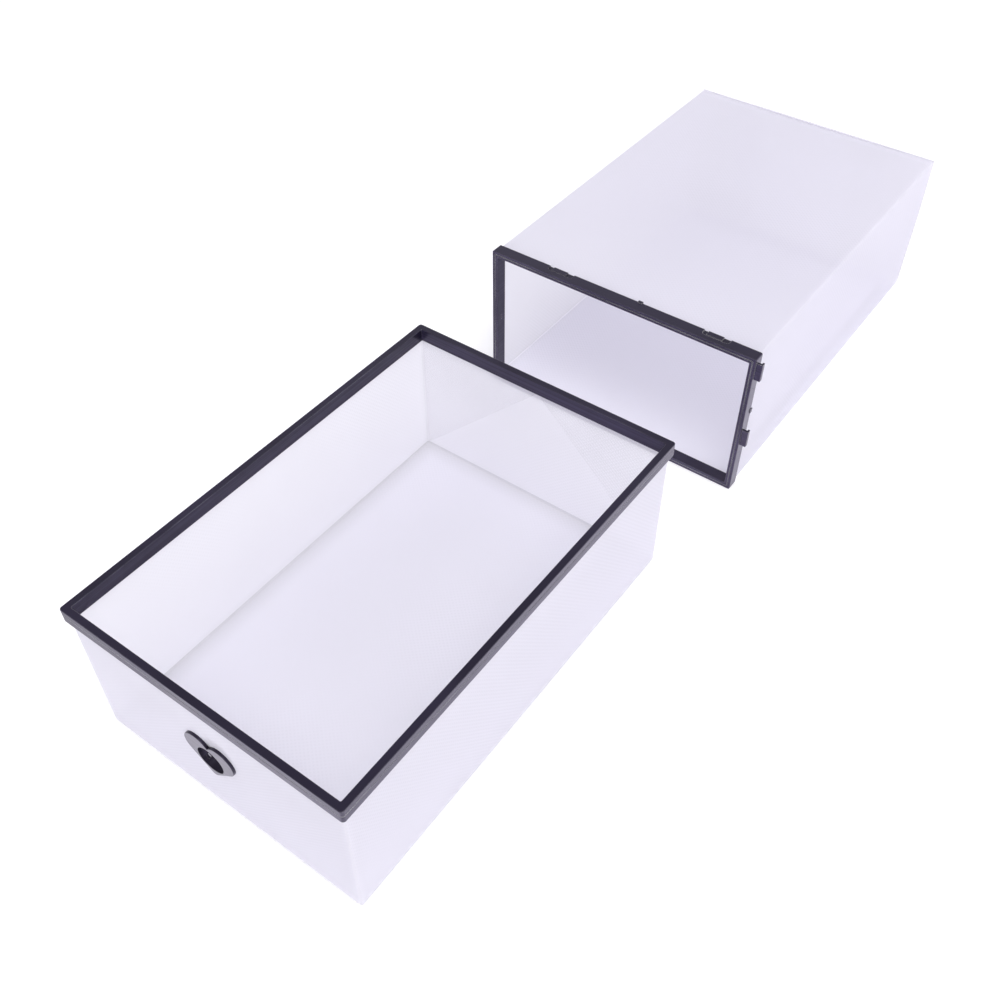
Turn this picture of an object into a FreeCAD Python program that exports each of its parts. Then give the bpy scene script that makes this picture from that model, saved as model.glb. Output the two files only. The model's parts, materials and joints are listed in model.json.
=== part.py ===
import FreeCAD, Part
import math
import os

# A foldable shoe box: a drawer folded from one plastic sheet under a moulded rim, and an
# outer sleeve folded from another sheet behind a moulded front frame.  Millimetres.
# Origin: middle of the front frame's underside.  +Y runs to the back of the sleeve, +Z up.
# The drawer stands drawn out, clear in front of the sleeve, level with the sill it slides over.

# --- driving dimensions: outer sleeve -------------------------------------------------
sleeve_width = 210.0
sleeve_height = 118.4
sleeve_length = 310.2          # frame's front face to the sheet's back edge
sheet_thickness = 0.5

frame_depth = 9.1
frame_face = 4.6               # width of each bar of the frame, seen from the front
frame_corner_radius = 1.2
frame_skirt = 1.05             # outer wall of the channel that grips the sheet
frame_inner_wall = 1.2
frame_web = 2.0                # front wall of the channel
frame_edge_round = 0.4
opening_corner_radius = 0.6
channel_corner_radius = 0.9
face_groove_width = 0.6
face_groove_depth = 0.45

sheet_inset = 1.1              # sheet's outer face behind the frame's outer face
sheet_fold_radius = 1.0
sheet_engagement = 4.1         # how far the sheet reaches into the frame's channel
seam_width = 14.0              # glued overlap inside the floor panel
seam_end_gap = 8.0
dust_flap_width = 62.0
dust_flap_taper = 8.0
dust_flap_top_gap = 3.0
dust_flap_bottom_gap = 3.0

# --- driving dimensions: back flap on its fold line ----------------------------------
flap_gap = 0.1                 # between the sleeve's back edge and the shut flap
flap_bottom_height = 3.0       # above the frame's underside
tongue_length = 12.0
tongue_side_inset = 9.0
tongue_corner_radius = 8.0

# --- driving dimensions: stacking hooks, sockets and small marks ----------------------
hook_heights = (43.5, 101.8)   # lower ends of the hooks on the right bar
hook_height = 13.5
hook_reach = 4.6
hook_front_inset = 1.0
hook_web = 1.8
hook_lip = 1.4
hook_lip_depth = 3.2
hook_edge_round = 0.5
socket_clearance = 0.3
socket_depth = 3.9             # side sockets, sized for the neighbour's hooks
core_hole_radius = 0.6
core_hole_drop = 10.5
core_hole_inset = 5.0

top_socket_starts = (-60.3, 62.6)
top_socket_width = 20.0
top_socket_depth = 0.8
top_socket_front_inset = 4.0
top_socket_corner_radius = 2.4
top_bridge_start = 3.2
top_bridge_width = 11.5
top_bridge_gap = 0.6
lug_width = 3.4
lug_reach = 1.2
lug_proud = 0.5
top_lug_x = 13.0
side_lug_rise = 10.0           # above the middle of the right bar
detent_width = 4.0
detent_height = 0.35
detent_depth = 1.2

# --- driving dimensions: drawer -------------------------------------------------------
drawer_width = 197.8           # over the rim
drawer_length = 300.6
drawer_height = 106.2
drawer_lift = 5.2              # running height over the frame's sill
drawer_clear = 90.0            # open space between the frame and the drawn-out drawer
rim_height = 9.3
rim_face = 4.55
rim_corner_radius = 2.0
rim_skirt = 1.15
rim_inner_wall = 1.0
rim_web = 1.6
rim_edge_round = 0.4
rim_groove_height = 4.8        # lower edge of the fine line, above the rim's underside
rim_groove_width = 0.5
rim_groove_depth = 0.35
tray_inset = 2.2               # tray's wall behind the rim's outer face
tray_fold_radius = 1.6
tray_top_gap = 0.1
gusset_middle_gap = 1.0        # from each gusset's tip to the middle of its wall

# --- driving dimensions: ribs that hold a sheet in its channel -------------------------
rib_pitch = 30.0
rib_width = 1.2
rib_clearance = 0.1
rib_end_gap = 0.6              # from a rib's end to the mouth of its channel

# --- driving dimensions: pull ---------------------------------------------------------
pull_height = 52.5             # hole's centre above the tray's floor
heart_lobe_radius = 9.6
heart_lobe_offset = 8.4
heart_lobe_rise = 5.9
heart_tip_radius = 3.5
heart_tip_drop = 10.3
heart_thickness = 1.8
heart_edge_round = 0.4
pull_hole_radius = 9.4
tube_wall = 1.1
tube_length = 3.7              # behind the heart's back face
tube_slot_width = 2.6
tube_slot_start = 0.8          # behind the heart's back face
tube_slot_end = 1.0            # short of the tube's end
tube_slots = 4
tube_slot_angle = 45.0
barb_height = 0.5
barb_length = 1.2
wall_hole_clearance = 0.2
collar_radius = 13.0
collar_thickness = 1.3
collar_edge_round = 0.5
hub_radius = 11.8
hub_length = 1.8               # from the wall to the barbs, flange included
fit_gap = 0.05                 # between parts that touch in the real box

# --- derived values --------------------------------------------------------------------
half_width = sleeve_width / 2
front_y = -frame_depth / 2
rear_y = frame_depth / 2
back_y = front_y + sleeve_length
channel_inner = frame_face - frame_inner_wall
channel_floor_y = front_y + frame_web
sheet_front_y = rear_y - sheet_engagement

rim_channel_inner = rim_face - rim_inner_wall
drawer_back_y = front_y - drawer_clear
drawer_front_y = drawer_back_y - drawer_length
drawer_top = drawer_lift + drawer_height
tray_wall_y = drawer_front_y + tray_inset
tray_top = drawer_top - rim_web - tray_top_gap
tube_radius = pull_hole_radius + tube_wall
pull_z = drawer_lift + pull_height
over = 1.0                     # extra length of a cutting tool past the face it cuts
sunk = 0.1                     # how deep a fused feature starts inside its parent


def vec(x, y, z):
    return FreeCAD.Vector(x, y, z)


def block(low, high):
    """A plain box between two corners."""
    return Part.makeBox(high[0] - low[0], high[1] - low[1], high[2] - low[2], vec(*low))


def edges_along(solid, axis):
    """The straight edges of a solid that run along 0 (x), 1 (y) or 2 (z)."""
    return [edge for edge in solid.Edges if abs(edge.tangentAt(edge.FirstParameter)[axis]) > 0.99]


def rounded_block(low, high, axis, radius):
    """A box whose four edges along one axis are rounded."""
    solid = block(low, high)
    return solid.makeFillet(radius, edges_along(solid, axis))


def edges_in_plane(solid, axis, level):
    """The edges of a solid that lie wholly in the plane where one coordinate equals level."""
    found = []
    for edge in solid.Edges:
        box = edge.BoundBox
        low, high = ((box.XMin, box.XMax), (box.YMin, box.YMax), (box.ZMin, box.ZMax))[axis]
        if abs(low - level) < 1e-3 and abs(high - level) < 1e-3:
            found.append(edge)
    return found


def around_sleeve(inset, start_y, end_y, radius):
    """A prism along Y with the sleeve's outline, drawn in by inset on all four sides."""
    low = (-half_width + inset, start_y, inset)
    high = (half_width - inset, end_y, sleeve_height - inset)
    return rounded_block(low, high, 1, radius)


def around_drawer(inset, low_z, high_z, radius):
    """A prism along Z with the drawer's outline, drawn in by inset on all four sides."""
    low = (-drawer_width / 2 + inset, drawer_front_y + inset, low_z)
    high = (drawer_width / 2 - inset, drawer_back_y - inset, high_z)
    return rounded_block(low, high, 2, radius)


def rib_places(length):
    """Even spacing of grip ribs along a bar, symmetric about its middle."""
    count = int(length // rib_pitch)
    return [(i - (count - 1) / 2) * rib_pitch for i in range(count)]


# --- sleeve frame ----------------------------------------------------------------------
def frame_shell():
    """Picture-frame moulding with a channel in its back that takes the sheet's edge."""
    bar = around_sleeve(0, front_y, rear_y, frame_corner_radius)
    opening = around_sleeve(frame_face, front_y - over, rear_y + over, opening_corner_radius)
    shell = bar.cut(opening)
    shell = shell.makeFillet(frame_edge_round, edges_in_plane(shell, 1, front_y))
    channel = around_sleeve(frame_skirt, channel_floor_y, rear_y + over, channel_corner_radius)
    core = around_sleeve(channel_inner, channel_floor_y, rear_y + over, opening_corner_radius)
    return shell.cut(channel.cut(core))


def face_groove():
    """Fine line that runs round the middle of the frame's front face."""
    outer_inset = (frame_face - face_groove_width) / 2
    depth_y = front_y + face_groove_depth
    outer = around_sleeve(outer_inset, front_y - over, depth_y, channel_corner_radius)
    inner = around_sleeve(outer_inset + face_groove_width, front_y - over, depth_y,
                          opening_corner_radius)
    return outer.cut(inner)


def frame_ribs():
    """Short ribs on the channel's inner wall that press the sheet against the skirt."""
    start = sheet_inset + sheet_thickness + rib_clearance
    end = channel_inner + sunk
    start_y = channel_floor_y - sunk
    end_y = rear_y - rib_end_gap
    ribs = []
    for x in rib_places(sleeve_width - 2 * frame_face):
        for z_low in (start, sleeve_height - end):
            low = (x - rib_width / 2, start_y, z_low)
            ribs.append(block(low, (x + rib_width / 2, end_y, z_low + end - start)))
    for z in rib_places(sleeve_height - 2 * frame_face):
        centre_z = sleeve_height / 2 + z
        for x_low in (-half_width + start, half_width - end):
            low = (x_low, start_y, centre_z - rib_width / 2)
            ribs.append(block(low, (x_low + end - start, end_y, centre_z + rib_width / 2)))
    return ribs


def side_hook(height):
    """L-shaped hook on the right bar, its lip turned to the back."""
    root_x = half_width - sunk
    tip_x = half_width + hook_reach
    start_y = front_y + hook_front_inset
    web = block((root_x, start_y, height), (tip_x, start_y + hook_web, height + hook_height))
    lip = block((tip_x - hook_lip, start_y, height),
                (tip_x, start_y + hook_lip_depth, height + hook_height))
    hook = web.fuse(lip).removeSplitter()
    outer = [edge for edge in edges_along(hook, 2) if edge.BoundBox.XMin > tip_x - 0.01]
    return hook.makeFillet(hook_edge_round, outer)


def side_socket(height):
    """Pocket in the left bar that takes a neighbour's hook."""
    low = (-half_width - over, front_y + hook_front_inset - socket_clearance,
           height - socket_clearance)
    high = (-half_width + socket_depth,
            front_y + hook_front_inset + hook_lip_depth + socket_clearance,
            height + hook_height + socket_clearance)
    return block(low, high)


def core_hole(height):
    """Small blind moulding hole in the right bar below a hook."""
    centre = vec(half_width + over, front_y + core_hole_inset, height - core_hole_drop)
    return Part.makeCylinder(core_hole_radius, over + frame_skirt, centre, vec(-1, 0, 0))


def top_socket(start_x):
    """Shallow socket in the top bar, open to the back, around a flush bridge."""
    floor_z = sleeve_height - top_socket_depth
    start_y = front_y + top_socket_front_inset
    low = (start_x, start_y, floor_z)
    high = (start_x + top_socket_width, rear_y + over + top_socket_corner_radius,
            sleeve_height + over)
    pocket = block(low, high)
    front_corners = [e for e in edges_along(pocket, 2) if e.BoundBox.YMax < start_y + 0.01]
    pocket = pocket.makeFillet(top_socket_corner_radius, front_corners)
    bridge_x = start_x + top_bridge_start
    bridge_low = (bridge_x, start_y + top_bridge_gap, floor_z - over)
    bridge_high = (bridge_x + top_bridge_width, rear_y + 2 * over + top_socket_corner_radius,
                   sleeve_height + 2 * over)
    return pocket.cut(block(bridge_low, bridge_high))


def rear_lugs():
    """Two small dark lugs on the skirt's back edge, at the middle of the top and right bars."""
    low_y = rear_y - lug_reach
    high_y = rear_y + lug_reach
    top_z = sleeve_height - frame_skirt
    top = block((top_lug_x - lug_width / 2, low_y, top_z),
                (top_lug_x + lug_width / 2, high_y, sleeve_height + lug_proud))
    side_z = sleeve_height / 2 + side_lug_rise
    side_x = half_width - frame_skirt
    side = block((side_x, low_y, side_z - lug_width / 2),
                 (half_width + lug_proud, high_y, side_z + lug_width / 2))
    return [top, side]


def detents():
    """Low bumps inside the opening: one on the sill, one on the left bar."""
    start_y = -detent_depth / 2
    end_y = detent_depth / 2
    root = frame_face - sunk
    tip = frame_face + detent_height
    sill = block((-detent_width / 2, start_y, root), (detent_width / 2, end_y, tip))
    middle = sleeve_height / 2
    left = block((-half_width + root, start_y, middle - detent_width / 2),
                 (-half_width + tip, end_y, middle + detent_width / 2))
    return [sill, left]


def make_sleeve_frame():
    frame = frame_shell().cut(face_groove())
    frame = frame.fuse(frame_ribs() + rear_lugs() + detents())
    frame = frame.fuse([side_hook(height) for height in hook_heights])
    for height in hook_heights:
        frame = frame.cut(side_socket(height))
        frame = frame.cut(core_hole(height))
    for start_x in top_socket_starts:
        frame = frame.cut(top_socket(start_x))
    return frame.removeSplitter()


# --- sleeve sheet ----------------------------------------------------------------------
def dust_flap(side):
    """Flap folded in from one side wall (-1 left, 1 right) across the sleeve's back."""
    inner_face = half_width - sheet_inset - sheet_thickness / 2
    top = sleeve_height - sheet_inset - sheet_thickness - dust_flap_top_gap
    bottom = sheet_inset + sheet_thickness + dust_flap_bottom_gap
    far = inner_face - dust_flap_width
    start_y = back_y - sheet_thickness
    outline = [(inner_face, bottom), (far + dust_flap_taper, bottom), (far, bottom + dust_flap_taper),
               (far, top - dust_flap_taper), (far + dust_flap_taper, top), (inner_face, top)]
    points = [vec(side * x, start_y, z) for x, z in outline]
    face = Part.Face(Part.makePolygon(points + points[:1]))
    return face.extrude(vec(0, sheet_thickness, 0))


def floor_seam():
    """Glued strip that joins the tube, inside the floor panel along its right edge."""
    high_x = half_width - sheet_inset - sheet_thickness / 2
    low = (high_x - seam_width, sheet_front_y + seam_end_gap, sheet_inset + sheet_thickness / 2)
    high = (high_x, back_y - seam_end_gap - tongue_length, sheet_inset + 2 * sheet_thickness)
    return block(low, high)


def make_sleeve_sheet():
    outer = around_sleeve(sheet_inset, sheet_front_y, back_y, sheet_fold_radius)
    inner = around_sleeve(sheet_inset + sheet_thickness, sheet_front_y - over, back_y + over,
                          sheet_fold_radius - sheet_thickness)
    tube = outer.cut(inner)
    return tube.fuse([dust_flap(-1), dust_flap(1), floor_seam()]).removeSplitter()


def make_sleeve_back_flap():
    """Flap on the top panel's back edge, with a tongue tucked in above the floor panel."""
    half = half_width - sheet_inset
    start_y = back_y + flap_gap
    top = sleeve_height - sheet_inset - flap_gap
    plate = block((-half, start_y, flap_bottom_height), (half, start_y + sheet_thickness, top))
    tongue_half = half - tongue_side_inset
    tongue_start = start_y - tongue_length
    tongue = block((-tongue_half, tongue_start, flap_bottom_height),
                   (tongue_half, start_y + sheet_thickness, flap_bottom_height + sheet_thickness))
    front_corners = [e for e in edges_along(tongue, 2) if e.BoundBox.YMax < tongue_start + 0.01]
    tongue = tongue.makeFillet(tongue_corner_radius, front_corners)
    return plate.fuse(tongue).removeSplitter()


# --- drawer ----------------------------------------------------------------------------
def rim_ribs():
    """Short ribs that press the long walls of the tray against the rim's skirt."""
    start = tray_inset + sheet_thickness + rib_clearance
    end = rim_channel_inner + sunk
    low_z = drawer_top - rim_height + rib_end_gap
    high_z = drawer_top - rim_web + sunk
    middle_y = (drawer_front_y + drawer_back_y) / 2
    ribs = []
    for y in rib_places(drawer_length - 2 * rim_face):
        centre_y = middle_y + y
        for x_low in (-drawer_width / 2 + start, drawer_width / 2 - end):
            low = (x_low, centre_y - rib_width / 2, low_z)
            ribs.append(block(low, (x_low + end - start, centre_y + rib_width / 2, high_z)))
    return ribs


def rim_groove():
    """Fine line that runs round the rim's outer faces."""
    low_z = drawer_top - rim_height + rim_groove_height
    high_z = low_z + rim_groove_width
    outer = around_drawer(-over, low_z, high_z, rim_corner_radius)
    inner = around_drawer(rim_groove_depth, low_z - over, high_z + over,
                          rim_corner_radius - rim_groove_depth)
    return outer.cut(inner)


def make_drawer_rim():
    """Rectangular rim, an upturned channel that clips over the tray's four walls."""
    bottom = drawer_top - rim_height
    bar = around_drawer(0, bottom, drawer_top, rim_corner_radius)
    opening = around_drawer(rim_face, bottom - over, drawer_top + over, opening_corner_radius)
    rim = bar.cut(opening)
    rim = rim.makeFillet(rim_edge_round, edges_in_plane(rim, 2, drawer_top))
    channel = around_drawer(rim_skirt, bottom - over, drawer_top - rim_web, channel_corner_radius)
    core = around_drawer(rim_channel_inner, bottom - over, drawer_top - rim_web,
                         opening_corner_radius)
    rim = rim.cut(channel.cut(core)).cut(rim_groove())
    return rim.fuse(rim_ribs()).removeSplitter()


def gusset(end, side):
    """Corner gusset folded flat inside an end wall: end -1 front, 1 back; side -1 left, 1 right.

    Its free edge climbs at 45 degrees from the floor's corner until it nears the wall's middle.
    """
    corner_x = drawer_width / 2 - tray_inset - sheet_thickness / 2
    base = drawer_lift + sheet_thickness / 2
    rise = corner_x - gusset_middle_gap
    outline = [(corner_x, base), (gusset_middle_gap, base + rise), (gusset_middle_gap, tray_top),
               (corner_x, tray_top)]
    wall = drawer_length / 2 - tray_inset - sheet_thickness
    middle_y = (drawer_front_y + drawer_back_y) / 2
    outer_y = middle_y + end * (wall + sheet_thickness / 2)
    points = [vec(side * x, outer_y, z) for x, z in outline]
    face = Part.Face(Part.makePolygon(points + points[:1]))
    return face.extrude(vec(0, -end * sheet_thickness * 1.5, 0))


def make_drawer_tray():
    """Open tray folded from one sheet, with a hole for the pull in its front wall."""
    outer = around_drawer(tray_inset, drawer_lift, tray_top, tray_fold_radius)
    outer = outer.makeFillet(sheet_fold_radius, edges_in_plane(outer, 2, drawer_lift))
    inner = around_drawer(tray_inset + sheet_thickness, drawer_lift + sheet_thickness,
                          tray_top + over, tray_fold_radius - sheet_thickness)
    tray = outer.cut(inner)
    tray = tray.fuse([gusset(end, side) for end in (-1, 1) for side in (-1, 1)])
    hole = Part.makeCylinder(tube_radius + wall_hole_clearance, 4 * over,
                             vec(0, tray_wall_y - over, pull_z), vec(0, 1, 0))
    return tray.cut(hole).removeSplitter()


# --- pull ------------------------------------------------------------------------------
def heart_wire(y):
    """Heart outline in the plane at y: two lobes, two straight flanks and a rounded tip."""
    lobe_z = pull_z + heart_lobe_rise
    tip_z = pull_z - heart_tip_drop
    run = heart_lobe_offset
    fall = lobe_z - tip_z
    lean = math.atan2(run, fall)
    spread = math.asin((heart_lobe_radius - heart_tip_radius) / math.hypot(run, fall))
    turn = spread + lean                      # how far the flank leans out from upright
    flank_x = math.cos(turn)
    flank_z = -math.sin(turn)
    notch_z = lobe_z + math.sqrt(heart_lobe_radius ** 2 - heart_lobe_offset ** 2)
    notch = vec(0, y, notch_z)
    tip_bottom = vec(0, y, tip_z - heart_tip_radius)
    parts = []
    for side in (1, -1):
        on_lobe = vec(side * (heart_lobe_offset + heart_lobe_radius * flank_x), y,
                      lobe_z + heart_lobe_radius * flank_z)
        on_tip = vec(side * heart_tip_radius * flank_x, y, tip_z + heart_tip_radius * flank_z)
        lobe_top = vec(side * (heart_lobe_offset + heart_lobe_radius * math.cos(math.pi / 4)), y,
                       lobe_z + heart_lobe_radius * math.sin(math.pi / 4))
        half_angle = (math.atan2(flank_z, flank_x) - math.pi / 2) / 2
        on_tip_side = vec(side * heart_tip_radius * math.cos(half_angle), y,
                          tip_z + heart_tip_radius * math.sin(half_angle))
        parts.append(Part.Arc(notch, lobe_top, on_lobe).toShape())
        parts.append(Part.makeLine(on_lobe, on_tip))
        parts.append(Part.Arc(on_tip, on_tip_side, tip_bottom).toShape())
    return Part.Wire(Part.sortEdges(parts)[0])


def make_pull_heart():
    """Heart-shaped face with a slotted tube that passes through the drawer's front wall."""
    back = tray_wall_y - fit_gap
    front = back - heart_thickness
    heart = Part.Face(heart_wire(front)).extrude(vec(0, heart_thickness, 0))
    heart = heart.makeFillet(heart_edge_round, edges_in_plane(heart, 1, front))
    along = vec(0, 1, 0)
    tube = Part.makeCylinder(tube_radius, tube_length + over, vec(0, back - over, pull_z), along)
    barb_start = back + tube_length - barb_length
    barb = Part.makeCone(tube_radius + barb_height, tube_radius, barb_length,
                         vec(0, barb_start, pull_z), along)
    bore = Part.makeCylinder(pull_hole_radius, heart_thickness + tube_length + 2 * over,
                             vec(0, front - over, pull_z), along)
    pull = heart.fuse([tube, barb])
    reach = tube_radius + 2 * barb_height
    for i in range(tube_slots):
        slot = block((-tube_slot_width / 2, back + tube_slot_start, pull_z),
                     (tube_slot_width / 2, back + tube_length - tube_slot_end, pull_z + reach))
        slot.rotate(vec(0, 0, pull_z), along, tube_slot_angle + i * 360 / tube_slots)
        pull = pull.cut(slot)
    return pull.cut(bore).removeSplitter()


def make_pull_collar():
    """Flanged ring behind the front wall that the tube's barbs snap over."""
    start = tray_wall_y + sheet_thickness + fit_gap
    along = vec(0, 1, 0)
    centre = vec(0, start, pull_z)
    flange = Part.makeCylinder(collar_radius, collar_thickness, centre, along)
    flange = flange.makeFillet(collar_edge_round, edges_in_plane(flange, 1, start + collar_thickness))
    hub = Part.makeCylinder(hub_radius, hub_length, centre, along)
    bore = Part.makeCylinder(tube_radius + wall_hole_clearance, hub_length + 2 * over,
                             vec(0, start - over, pull_z), along)
    return flange.fuse(hub).cut(bore).removeSplitter()


nodes = {
    "sleeve_sheet": make_sleeve_sheet,
    "sleeve_back_flap": make_sleeve_back_flap,
    "sleeve_frame": make_sleeve_frame,
    "drawer_tray": make_drawer_tray,
    "drawer_rim": make_drawer_rim,
    "pull_heart": make_pull_heart,
    "pull_collar": make_pull_collar,
}

os.makedirs("parts", exist_ok=True)
for name, make in nodes.items():
    shape = make()
    print(name, "valid" if shape.isValid() else "INVALID", "solids", len(shape.Solids),
          "volume %.0f" % shape.Volume)
    shape.exportStep(f"parts/{name}.step")
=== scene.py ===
import json
import math

import bmesh
import bpy
from mathutils import Matrix, Vector, noise


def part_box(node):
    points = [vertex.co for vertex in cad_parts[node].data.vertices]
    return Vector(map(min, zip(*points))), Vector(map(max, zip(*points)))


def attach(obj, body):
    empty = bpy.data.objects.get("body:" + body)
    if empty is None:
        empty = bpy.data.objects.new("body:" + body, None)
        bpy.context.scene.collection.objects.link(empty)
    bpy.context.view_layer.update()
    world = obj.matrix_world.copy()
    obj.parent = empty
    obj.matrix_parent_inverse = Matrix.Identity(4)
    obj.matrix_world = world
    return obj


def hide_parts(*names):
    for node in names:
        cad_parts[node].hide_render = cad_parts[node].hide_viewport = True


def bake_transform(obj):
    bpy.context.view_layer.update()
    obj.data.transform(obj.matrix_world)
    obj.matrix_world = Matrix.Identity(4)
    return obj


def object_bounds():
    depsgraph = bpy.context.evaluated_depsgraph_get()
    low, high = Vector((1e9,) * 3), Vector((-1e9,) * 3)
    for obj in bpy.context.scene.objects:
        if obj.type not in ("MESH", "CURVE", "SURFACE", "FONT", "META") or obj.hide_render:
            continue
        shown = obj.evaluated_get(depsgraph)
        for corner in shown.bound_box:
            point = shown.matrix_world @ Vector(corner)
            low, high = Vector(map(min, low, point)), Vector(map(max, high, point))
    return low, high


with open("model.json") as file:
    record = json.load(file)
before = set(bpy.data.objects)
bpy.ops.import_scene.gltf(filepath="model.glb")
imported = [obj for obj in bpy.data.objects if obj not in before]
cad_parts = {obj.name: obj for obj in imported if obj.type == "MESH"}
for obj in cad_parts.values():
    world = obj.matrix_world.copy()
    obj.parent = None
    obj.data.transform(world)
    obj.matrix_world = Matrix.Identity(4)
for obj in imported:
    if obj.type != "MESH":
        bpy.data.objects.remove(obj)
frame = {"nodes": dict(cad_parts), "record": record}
cad_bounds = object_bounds()

# --- lengths, in metres ------------------------------------------------------------------
MM = 0.001
GAUGE = 0.5 * MM               # thickness of the folded sheets
LAYER_GAP = 0.06 * MM          # air between two layers that lie on each other
GRID = 5.0 * MM                # spacing of mesh points on a panel
ARC_STEPS = 5                  # segments in a quarter turn of a fold
MERGE_DISTANCE = 0.004 * MM    # mesh points closer than this become one
LEAST_RADIUS = 0.0001 * MM     # keeps the innermost ring of a round fold open

SLEEVE_FOLD_RADIUS = 1.0 * MM
DUST_FOLD_RADIUS = 0.5 * MM
DUST_FLAP_REACH = 62.0 * MM
DUST_FLAP_TAPER = 8.0 * MM
DUST_FLAP_BEND = 0.3 * MM      # how far the flap's free end leans into the sleeve
DUST_FLAP_GAP = 3.0 * MM       # from the flap's ends to the top and floor panels
SEAM_WIDTH = 14.0 * MM
SEAM_END_GAP = 14.0 * MM
TONGUE_SIDE_INSET = 9.0 * MM
TONGUE_CORNER = 8.0 * MM
BESIDE_TONGUE_STEPS = 2        # mesh columns on each side of the tongue

TRAY_FOLD_RADIUS = 1.6 * MM
GUSSET_TRIM = 10.0 * MM        # the gussets stop this far from the middle inside the rim
GUSSET_FOOT = 0.6 * MM         # and start this far above the floor's fold
GUSSET_LIFT = 0.25 * MM        # how far their free corners stand off the wall
WALL_HOLE_INSIDE_COLLAR = 2.3 * MM
HOLE_MARGIN = 1.5 * MM         # the wall's grid is left out this far round its hole
HOLE_RINGS = (0.35, 0.7, 1.0)  # rings of points from that grid to the hole, as shares of the way
CLAMPED_REACH = 22.0 * MM      # the pull holds the front wall flat this far from its middle

# --- how far the panels bow, outward positive --------------------------------------------
SLEEVE_BOW = {"floor": -0.5 * MM, "right": 0.9 * MM, "top": -1.1 * MM, "left": 0.7 * MM}
TRAY_BOW = {"front": 0.6 * MM, "right": 0.8 * MM, "back": 0.5 * MM, "left": 0.8 * MM}
TRAY_FLOOR_SAG = 0.8 * MM
BACK_FLAP_BOW = 1.0 * MM
SLEEVE_ARCH = (0.08, 0.72)     # a bow runs along this part of a half wave: its start and span
TRAY_ARCH = (0.05, 0.90)
BOW_RISE = 6.0                 # how fast bow and ripple grow from the frame, per sleeve length
RIPPLE_RISE = 8.0
WAVE_HEIGHT = 0.35 * MM
WAVE_LENGTH = 70.0 * MM
WAVES_PER_WALL = 3
WAVES_BETWEEN_WALLS = 5        # keeps the ripples of the tray's walls apart
FLOOR_WAVE_GAIN = 2

# --- camera and lens of the reference view -------------------------------------------------
VIEW_AZIMUTH = math.radians(36.16)
VIEW_ELEVATION = math.radians(46.4)
LENS_MM = 39.8
SENSOR_MM = 36.0
NEAREST_SEEN = 0.01
VIEW_MARGIN = 0.058            # empty share of the picture left on each side
FIT_ROUNDS = 60
FIT_STEP = 0.5                 # share of the error that one round takes away

# --- material slots of the sheet pieces ------------------------------------------------------
PANEL = 0
SECOND_LAYER = 1               # a layer that lies on a panel
TRAY_FLOOR = 2

# --- finish of the frosted sheet -------------------------------------------------------------
SHEET_COLOUR = (0.868, 0.856, 0.922)
SHEET_OPEN_SHARE = 0.20        # share of light that goes straight through
LAYER_OPEN_SHARE = 0.98        # the same for a second layer, which clings to the first
SHEET_GLOW_SHARE = 0.50        # share of the rest that is scattered through
CLEAR_TINT = (0.985, 0.98, 1.0, 1.0)
NO_TINT = (1.0, 1.0, 1.0, 1.0)
SHEET_INDEX = 1.49
SHEET_SHINE = 0.08
SHEET_ROUGHNESS = (0.33, 0.37)
CLOUD_SCALE = 9.0
CLOUD_TONE = (0.975, 1.0)
CLOUD_OPENNESS = (0.94, 1.04)
CREASE_SHADE = 0.76             # painted shade: how dark the inside of a fold is beside the open sheet
CREASE_CURVE = (0.44, 0.495)   # pointiness of a full crease and of the flat sheet
FOLD_CURVE = (0.505, 0.56)     # pointiness of the flat sheet and of a full outer fold
# outer folds whiter: stress whitening of the sheet, and in part a painted highlight
FOLD_WHITENING_AND_HIGHLIGHT = 0.05
FOLD_OPENNESS = 0.5            # an outer fold lets this share of the open sheet's light through
WALL_FOOT_LIGHT = 1.06          # painted light: the tray's walls are paler towards the floor
WALL_FOOT_HEIGHT = 70.0 * MM
TRAY_FLOOR_SHADE = 0.92              # painted shade: the tray's floor is greyer than its walls
TRAY_FLOOR_EDGE_SHADE = 0.82         # painted shade, darkest along its folds
FLOOR_EDGE_REACH = 16.0 * MM
TWILL_PITCH = 2.25 * MM
TWILL_ANGLE = math.radians(42)
TWILL_TONE = 0.96              # tone of the raised threads beside the grooves
TWILL_PATCHES = (0.35, 0.70)   # noise values where the twill starts to show and shows fully
TWILL_BUMP = (0.2, 0.04 * MM)  # strength and height
FACING = 0.7                   # a panel faces an axis when its normal has more than this of it
SHEET_GRAIN_SCALE = 900.0
SHEET_GRAIN_BUMP = (0.12, 0.03 * MM)

# --- finish of the dark mouldings ------------------------------------------------------------
MOULDING_COLOUR = (0.010, 0.008, 0.020)
MOULDING_FRONT_LIT = (0.018, 0.014, 0.036)   # painted light: a lighter colour on the faces that look straight out of the front
PULL_COLOUR = (0.008, 0.006, 0.014)
# painted light: the pull's face that looks out of the front, much lighter than its sides
PULL_FRONT_LIT = (0.100, 0.093, 0.118)
FRONT_LIT_FACING = (-0.95, -0.80)            # normal's Y where that painted light is full and where it ends
MOULDING_INDEX = 1.5
MOULDING_SHINE = (0.42, 0.58)
MOULDING_ROUGHNESS = (0.30, 0.39)
SHEEN_TINT = (0.80, 0.72, 1.0, 1.0)
FLOW_SCALE = 22.0
FLOW_TONE = (0.85, 1.2)
STREAK_SCALE = (8.0, 8.0, 900.0)
STREAK_TONE = (0.7, 1.35)
MOULDING_GRAIN_SCALE = 2600.0
MOULDING_GRAIN_BUMP = (0.2, 0.02 * MM)
# painted highlights along the mouldings' edges, found with a softened normal
EDGE_RADIUS = 0.5 * MM
EDGE_SAMPLES = 4
EDGE_FACING = (0.80, 0.995)    # dot product of softened and own normal: full edge, no edge
EDGE_HIGHLIGHT_SHARE = (0.2, 1.0)         # how much of an edge carries the painted highlight, by the flow noise
EDGE_HIGHLIGHT_LIFT = 0.45               # painted highlight: added to the colour on an edge
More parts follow.
